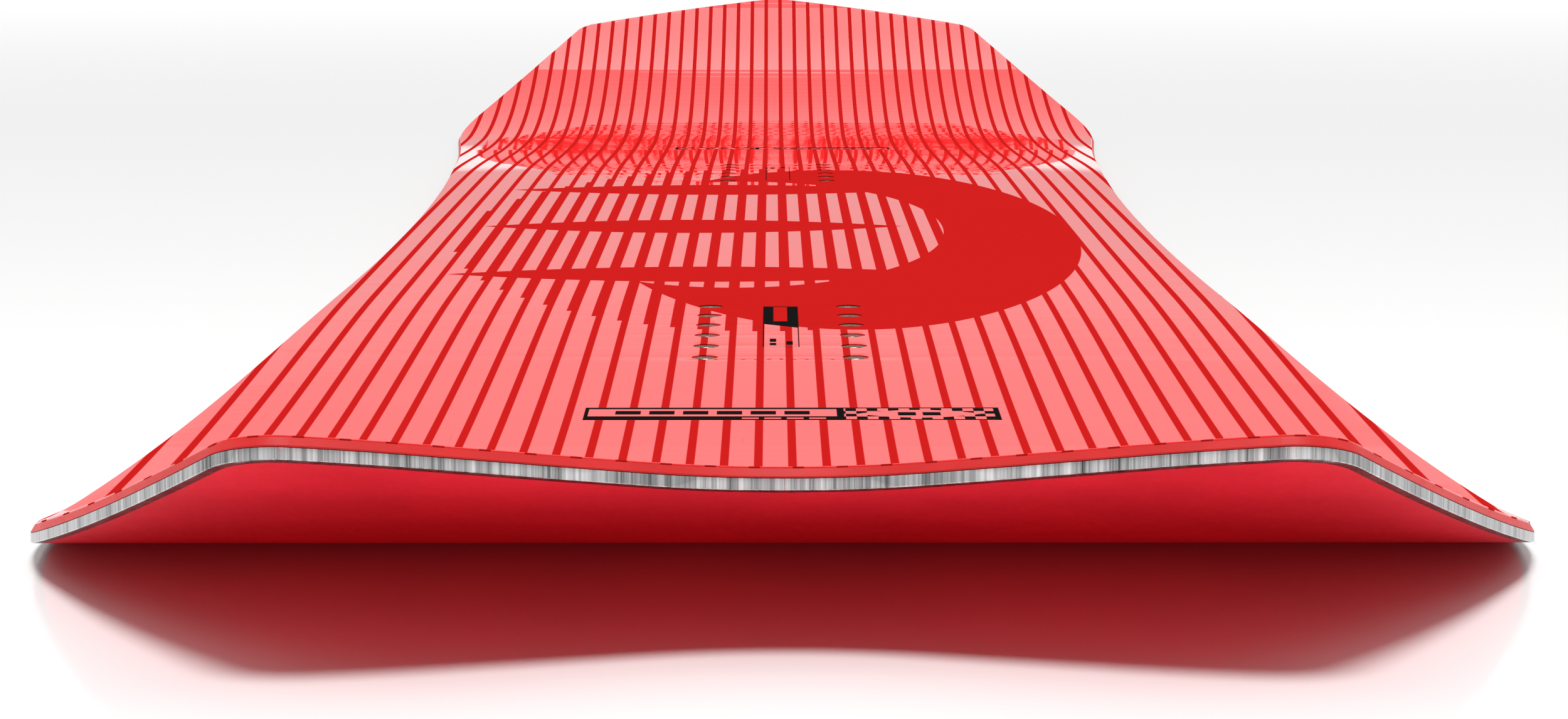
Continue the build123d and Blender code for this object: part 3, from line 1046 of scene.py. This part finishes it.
def build_end_label():
    """Masks of a label's whole field and of its dark ink, about the label's centre."""
    tree, given, result = open_group(
        "End Label", {"X": (FLOAT, 0), "Y": (FLOAT, 0)}, {"Label": FLOAT, "Dark": FLOAT}
    )
    place = (given["X"], given["Y"])
    label = shape(tree, box_mask, place, 0, 0, *LABEL_HALF_SIZE)
    blocks = block_row(tree, place, PANEL[:2], *PANEL_BLOCKS)
    panel = without(tree, shape(tree, box_mask, place, *PANEL), blocks)
    small = block_row(tree, place, SMALL_BLOCKS_PLACE, *SMALL_BLOCKS)
    checks = [
        calc(tree, "FLOOR", calc(tree, "MULTIPLY", axis, per_mm))
        for axis, per_mm in zip(place, CHECKS_PER_MM)
    ]
    odd = calc(tree, "MODULO", calc(tree, "ABSOLUTE", calc(tree, "ADD", *checks)), 2)
    flag = calc(tree, "MULTIPLY", shape(tree, box_mask, place, *FLAG), odd)
    lozenge = shape(tree, blade_mask, place, *LOZENGE)
    bars = block_row(tree, place, LOZENGE[:2], *LOZENGE_BLOCKS)
    feed(tree, result["Label"], label)
    bare = without(tree, join(tree, panel, small, flag, lozenge), bars)
    feed(tree, result["Dark"], without(tree, label, bare))
    return tree


end_label = build_end_label()
print("label:", [2 * half for half in LABEL_HALF_SIZE], "mm")

# %% [markdown]
# A setting-out label lies between the two columns of inserts: an outline with a few plain blocks at its
# clear end. The rear foot's label is filled in at the other end, up to a slanted border, around a small
# red patch. Two thin lines cross at the middle of the foot, where the centre of a binding goes.

# %% Foot labels
FOOT_LABEL = (0.3, 8.6, 5.0, 40.8)
FOOT_LABEL_LINE = 0.35
DARK_END_FROM = 8
DARK_END_SLANT = 0.78
RED_PATCH = (0.2, 32.6, 1.95, 15.4)
FOOT_BLOCKS = [(-1.9, -20, 0.9, 3.0), (-1.9, -27, 0.9, 2.2), (2.6, -25, 0.9, 3.2)]
CROSS_FIELD = (0, 8, 16, 24)
CROSS_HALF_LINE = 0.13
CROSS_INK = 0.6


def build_foot_label():
    """Masks of a foot label's dark and red ink, about the middle of the foot."""
    tree, given, result = open_group(
        "Foot Label",
        {"X": (FLOAT, 0), "Y": (FLOAT, 0), "Fill": (FLOAT, 1)},
        {"Dark": FLOAT, "Red": FLOAT},
    )
    place = (given["X"], given["Y"])
    x, y, half_width, half_length = FOOT_LABEL
    label = shape(tree, box_mask, place, *FOOT_LABEL)
    inner_size = (half_width - FOOT_LABEL_LINE, half_length - FOOT_LABEL_LINE)
    outline = without(tree, label, shape(tree, box_mask, place, x, y, *inner_size))
    past_border = calc(tree, "SUBTRACT", place[1], DARK_END_FROM)
    past_border = calc(tree, "MULTIPLY_ADD", place[0], DARK_END_SLANT, past_border)
    dark_end = calc(tree, "MULTIPLY", calc(tree, "MULTIPLY", label, inked(tree, past_border)), given["Fill"])
    marks = join(tree, *[shape(tree, box_mask, place, *block) for block in FOOT_BLOCKS])
    crossing = []
    for slope in (-1, 1):
        gap = calc(tree, "ABSOLUTE", calc(tree, "MULTIPLY_ADD", place[0], slope, place[1]))
        crossing.append(inked(tree, calc(tree, "SUBTRACT", CROSS_HALF_LINE, gap)))
    cross = calc(tree, "MULTIPLY", join(tree, *crossing), shape(tree, box_mask, place, *CROSS_FIELD))
    cross = calc(tree, "MULTIPLY", cross, CROSS_INK)
    feed(tree, result["Dark"], join(tree, outline, dark_end, marks, cross))
    patch = shape(tree, box_mask, place, *RED_PATCH)
    feed(tree, result["Red"], calc(tree, "MULTIPLY", patch, given["Fill"]))
    return tree


foot_label = build_foot_label()
print("foot label:", [2 * half for half in FOOT_LABEL[2:]], "mm")

# %% [markdown]
# ## Topsheet finish
# The light red ground is printed under the clear, glossy face of the sheet, and the dark red ink is matt.
# So the ink mask does two things: it picks the colour, and it takes away the clear coat. A coat of its own
# over a fully matt base gives the mirror-like ground, which turns paler the flatter it is looked along.
# Hairlines from use take a little of the gloss away, and the ink stands up by a hundredth of a millimetre.

# %% Mix the topsheet finish
GROUND_RED = (0.95, 0.022, 0.022, 1)
GROUND_RED_WORN = (0.9, 0.028, 0.028, 1)
INK_RED = (0.39, 0.0088, 0.008, 1)
LABEL_BLACK = (0.006, 0.006, 0.006, 1)
HAIRLINES_PER_METRE = (900, 20, 900)
HAIRLINE_FROM = (0.66, 0.74)
HAIRLINE_DULLING = 0.2
INK_DEPTH = 0.00001
TAIL_LABEL_Y = -478
NOSE_LABEL_Y = 410
LABEL_X = 2.7

tree, shader, place = start_finish(
    "topsheet", Specular_IOR_Level=0, Coat_Roughness=0.02, Coat_IOR=1.5, Roughness=0.9
)
in_mm = add_node(tree, "ShaderNodeVectorMath", {0: place, "Scale": 1 / MM}, operation="SCALE").outputs[0]
axes = add_node(tree, "ShaderNodeSeparateXYZ", {0: in_mm}).outputs
ground = place_group(
    tree,
    cloudy_colour,
    {"Place": place, "Scale": 9, "Shade": GROUND_RED, "Other Shade": GROUND_RED_WORN},
)
ink = place_group(tree, stripes_and_figure, {"X": axes["X"], "Y": axes["Y"]})["Ink"]
colour = mix_colour(tree, ink, ground["Colour"], INK_RED)
matt = ink
for label_y, facing in ((TAIL_LABEL_Y, 1), (NOSE_LABEL_Y, -1)):
    across = calc(tree, "MULTIPLY", calc(tree, "SUBTRACT", axes["X"], LABEL_X), facing)
    along = calc(tree, "MULTIPLY", calc(tree, "SUBTRACT", axes["Y"], label_y), facing)
    label = place_group(tree, end_label, {"X": across, "Y": along})
    bare = mix_colour(tree, label["Label"], colour, ground["Colour"])
    colour = mix_colour(tree, label["Dark"], bare, LABEL_BLACK)
    matt = join(tree, without(tree, matt, label["Label"]), label["Dark"])
for foot, facing, fill in (("rear", 1, 1), ("front", -1, 0)):
    along = calc(tree, "MULTIPLY", calc(tree, "SUBTRACT", axes["Y"], FEET[foot]), facing)
    label = place_group(tree, foot_label, {"X": axes["X"], "Y": along, "Fill": fill})
    colour = mix_colour(tree, label["Dark"], colour, LABEL_BLACK)
    colour = mix_colour(tree, label["Red"], colour, INK_RED)
    matt = join(tree, matt, label["Dark"], label["Red"])
lines = place_group(tree, drawn_lines, {"Place": place, "Lines per Metre": HAIRLINES_PER_METRE})
hairlines = add_node(
    tree,
    "ShaderNodeMapRange",
    {
        "Value": lines["Line"],
        "From Min": HAIRLINE_FROM[0],
        "From Max": HAIRLINE_FROM[1],
        "To Max": HAIRLINE_DULLING,
    },
).outputs[0]
feed(tree, shader["Base Color"], colour)
feed(tree, shader["Coat Weight"], without(tree, calc(tree, "SUBTRACT", 1, matt), hairlines))
feed(tree, shader["Normal"], add_bump(tree, matt, INK_DEPTH))
print("topsheet nodes:", len(tree.nodes))

# %% [markdown]
# ## Steel finishes
# The edge is ground with a stone that moves across it, so its marks run square to the rim: along the wall
# they are upright. Lines that are drawn out along Z and fine along X and Y give that. The inserts are
# turned, so their marks go round the barrel, and lines fine along Z do.

# %% Grind and turn the steel
STEEL = {
    "edge_steel": ((1600, 1600, 12), (0.6, 0.61, 0.61, 1), (0.04, 0.042, 0.042, 1), 0.22),
    "insert_steel": ((120, 120, 5000), (0.42, 0.42, 0.42, 1), (0.3, 0.3, 0.3, 1), 0.35),
}
MARK_DEPTH = 0.000004

for slot, (lines, bright, dull, roughness) in STEEL.items():
    tree, shader, place = start_finish(slot, Metallic=1)
    marks = place_group(tree, drawn_lines, {"Place": place, "Lines per Metre": lines})
    both = calc(tree, "ADD", marks["Line"], marks["Broad Line"])
    tone = add_node(tree, "ShaderNodeMapRange", {"Value": both, "From Min": 0.7, "From Max": 1.3}).outputs[0]
    feed(tree, shader["Base Color"], mix_colour(tree, tone, dull, bright))
    feed(tree, shader["Roughness"], calc(tree, "MULTIPLY_ADD", marks["Broad Line"], 0.12, roughness - 0.06))
    feed(tree, shader["Normal"], add_bump(tree, marks["Line"], MARK_DEPTH))
print("steel:", list(STEEL))

# %% [markdown]
# ## Plastic and rubber finishes
# The sidewall is red plastic, cut with the rest of the board and bevelled, and the cutter leaves fine
# lines along the rim. The base is sintered plastic: slightly cloudy, and stone-ground lengthwise so that
# it glides. The rubber foil is dull and cloudy.

# %% Mould the plastic and rubber
PLASTIC = {
    "sidewall": ((40, 40, 5000), (0.64, 0.022, 0.022, 1), (0.58, 0.019, 0.019, 1), 60, 0.42, 0.000006),
    "base": ((2600, 14, 2600), (0.5, 0.015, 0.032, 1), (0.44, 0.013, 0.027, 1), 30, 0.5, 0.000008),
    "rubber": ((600, 600, 600), (0.03, 0.03, 0.03, 1), (0.02, 0.02, 0.02, 1), 200, 0.75, 0.00003),
}

for slot, (lines, shade, other_shade, cloud_scale, roughness, depth) in PLASTIC.items():
    tree, shader, place = start_finish(slot, Specular_IOR_Level=0.25)
    surface = place_group(
        tree,
        cloudy_colour,
        {"Place": place, "Scale": cloud_scale, "Shade": shade, "Other Shade": other_shade},
    )
    marks = place_group(tree, drawn_lines, {"Place": place, "Lines per Metre": lines})
    feed(tree, shader["Base Color"], surface["Colour"])
    feed(tree, shader["Roughness"], calc(tree, "MULTIPLY_ADD", marks["Broad Line"], 0.2, roughness - 0.1))
    feed(tree, shader["Normal"], add_bump(tree, marks["Line"], depth))
print("plastic:", list(PLASTIC))

# %% [markdown]
# ## Fibre finishes
# The laminates and mats are glass cloth in clear resin, so their threads show through a glossy surface.
# The stringers are dark basalt tape, which is drier. All are one woven pattern with its own thread count,
# with painted shade where the threads dip.

# %% Weave the fibre layers
FIBRE = {
    "laminate": (700, math.radians(45), (0.66, 0.63, 0.45, 1), (0.52, 0.5, 0.36, 1), 0.25, 0.00002),
    "glass_mat": (450, 0, (0.78, 0.79, 0.74, 1), (0.62, 0.63, 0.58, 1), 0.35, 0.00004),
    "stringer": (600, math.radians(20), (0.075, 0.07, 0.06, 1), (0.035, 0.03, 0.027, 1), 0.5, 0.00004),
}

for slot, (threads, turn, warp_shade, weft_shade, roughness, depth) in FIBRE.items():
    tree, shader, place = start_finish(slot, Coat_Weight=0.5, Coat_Roughness=0.2)
    weave = place_group(tree, woven_threads, {"Place": place, "Threads per Metre": threads, "Turn": turn})
    # Partly painted shade: the tone follows thread height, so each thread is painted darker where it dips
    # under the next; the warp threads also get a lighter tone than the weft.
    tone = calc(tree, "MULTIPLY_ADD", weave["Height"], 0.6, calc(tree, "MULTIPLY", weave["Warp"], 0.4))
    feed(tree, shader["Base Color"], mix_colour(tree, tone, weft_shade, warp_shade))
    feed(tree, shader["Roughness"], calc(tree, "MULTIPLY_ADD", weave["Height"], -0.1, roughness + 0.05))
    feed(tree, shader["Normal"], add_bump(tree, weave["Height"], depth))
print("fibre:", list(FIBRE))

# %% [markdown]
# ## Wood finishes
# The core is glued up from strips: pale poplar, with harder and darker beech where the inserts bite and
# along the rails. Both are one grain pattern with other colours and ring widths.

# %% Plane the wood
WOOD = {
    "core_poplar": (220, (0.72, 0.57, 0.36, 1), (0.55, 0.4, 0.22, 1)),
    "core_hardwood": (380, (0.55, 0.35, 0.19, 1), (0.36, 0.2, 0.1, 1)),
}
PORE_DEPTH = 0.00003

for slot, (rings, early, late) in WOOD.items():
    tree, shader, place = start_finish(slot, Specular_IOR_Level=0.3)
    grain = place_group(
        tree,
        wood_grain,
        {"Place": place, "Early Wood": early, "Late Wood": late, "Rings per Metre": rings},
    )
    feed(tree, shader["Base Color"], grain["Colour"])
    feed(tree, shader["Roughness"], calc(tree, "MULTIPLY_ADD", grain["Pores"], 0.3, 0.5))
    feed(tree, shader["Normal"], add_bump(tree, grain["Pores"], PORE_DEPTH))
print("wood:", list(WOOD))

# %% [markdown]
# ## Floor finish
# The floor is plain and pale, with a faint sheen that carries a soft reflection of the base.

# %% Lay the floor
FLOOR_ROUGHNESS = 0.1
FLOOR_IOR = 1.6

floor_material = bpy.data.materials.new("floor")
floor_material.use_nodes = True
floor_shader = floor_material.node_tree.nodes["Principled BSDF"].inputs
floor_shader["Base Color"].default_value = FLOOR_WHITE
floor_shader["Roughness"].default_value = FLOOR_ROUGHNESS
floor_shader["IOR"].default_value = FLOOR_IOR
floor.data.materials.append(floor_material)
print("floor white:", FLOOR_WHITE[0])

# %% [markdown]
# ## Putting the finishes on
# The record names the finish of every layer. A new piece takes the finish of the layer it stands for.

# %% Finish every layer
for subpart in frame["record"]["subparts"]:
    mesh = nodes[subpart["node"]].data
    mesh.materials.clear()
    mesh.materials.append(finishes[subpart["material_slot"]])

for piece in (*steel_edges, topsheet, *insert_groups):
    piece.data.materials.append(finishes[piece["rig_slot"]])
print("finishes:", sorted(finishes))

# %% [markdown]
# ## Checking the size
# The finished board has to fill the same box as the imported one. The largest change of a side between the
# two boxes is printed.

# %% Compare the boxes and finish
low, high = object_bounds()
changes = [abs(a - b) / MM for a, b in zip((*low, *high), (*cad_low, *cad_high))]
print("largest change of a side in mm:", round(max(changes), 3))
